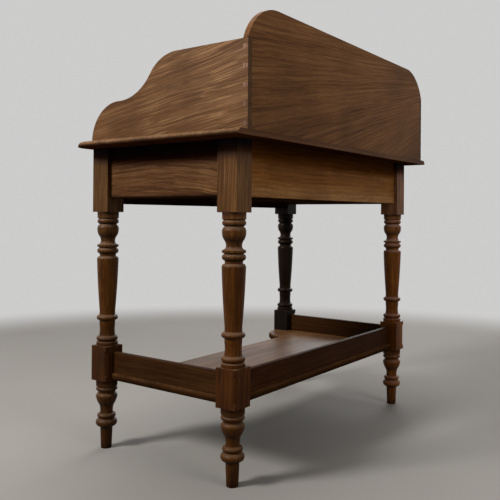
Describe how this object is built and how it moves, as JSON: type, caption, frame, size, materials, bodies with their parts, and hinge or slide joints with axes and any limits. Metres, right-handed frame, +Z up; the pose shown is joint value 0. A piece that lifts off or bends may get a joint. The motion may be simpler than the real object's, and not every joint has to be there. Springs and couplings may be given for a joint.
{
  "type": "washstand",
  "caption": "Wooden washstand with a raised gallery, turned legs, frieze drawers with round knobs and a shaped lower shelf with a low gallery.",
  "frame": {"origin": "on the floor, under the middle of the stand's overall width and depth", "axes": "+X to the right of someone who faces the drawers, +Y to the back, +Z up; the drawers open along -Y"},
  "size_m": [0.917, 0.501, 0.977],
  "materials": {
    "polished_wood": "dark red-brown hardwood, old wax or shellac polish",
    "lining_wood": "bare pale softwood, darkened with age",
    "screw_steel": "dull old steel"
  },
  "bodies": {
    "frame": {"leg_front_left": "polished_wood", "leg_front_right": "polished_wood", "leg_rear_left": "polished_wood", "leg_rear_right": "polished_wood", "top_board": "polished_wood", "gallery_back": "polished_wood", "gallery_side_left": "polished_wood", "gallery_side_right": "polished_wood", "rail_side_left": "polished_wood", "rail_side_right": "polished_wood", "rail_back": "polished_wood", "drawer_rail": "polished_wood", "top_rail": "polished_wood", "drawer_divider": "polished_wood", "runner_left": "lining_wood", "runner_right": "lining_wood", "runner_centre": "lining_wood", "guide_left": "lining_wood", "guide_right": "lining_wood", "guide_centre": "lining_wood", "kicker_left": "lining_wood", "kicker_right": "lining_wood", "kicker_centre": "lining_wood", "drawer_stops": "lining_wood", "glue_blocks": "lining_wood", "shelf_board": "polished_wood", "low_gallery_left": "polished_wood", "low_gallery_right": "polished_wood", "low_gallery_back": "polished_wood", "top_screws": "screw_steel", "gallery_screws": "screw_steel", "shelf_screws": "screw_steel"},
    "drawer_left": {"drawer_left_front": "polished_wood", "drawer_left_side_left": "lining_wood", "drawer_left_side_right": "lining_wood", "drawer_left_back": "lining_wood", "drawer_left_bottom": "lining_wood", "drawer_left_knob_left": "polished_wood", "drawer_left_knob_right": "polished_wood"},
    "drawer_right": {"drawer_right_front": "polished_wood", "drawer_right_side_left": "lining_wood", "drawer_right_side_right": "lining_wood", "drawer_right_back": "lining_wood", "drawer_right_bottom": "lining_wood", "drawer_right_knob_left": "polished_wood", "drawer_right_knob_right": "polished_wood"}
  },
  "joints": [
    {"name": "drawer_left_slide", "type": "slide", "parent": "frame", "child": "drawer_left", "axis": [0, -1, 0], "range_m": [0, 0.28]},
    {"name": "drawer_right_slide", "type": "slide", "parent": "frame", "child": "drawer_right", "axis": [0, -1, 0], "range_m": [0, 0.28]}
  ]
}
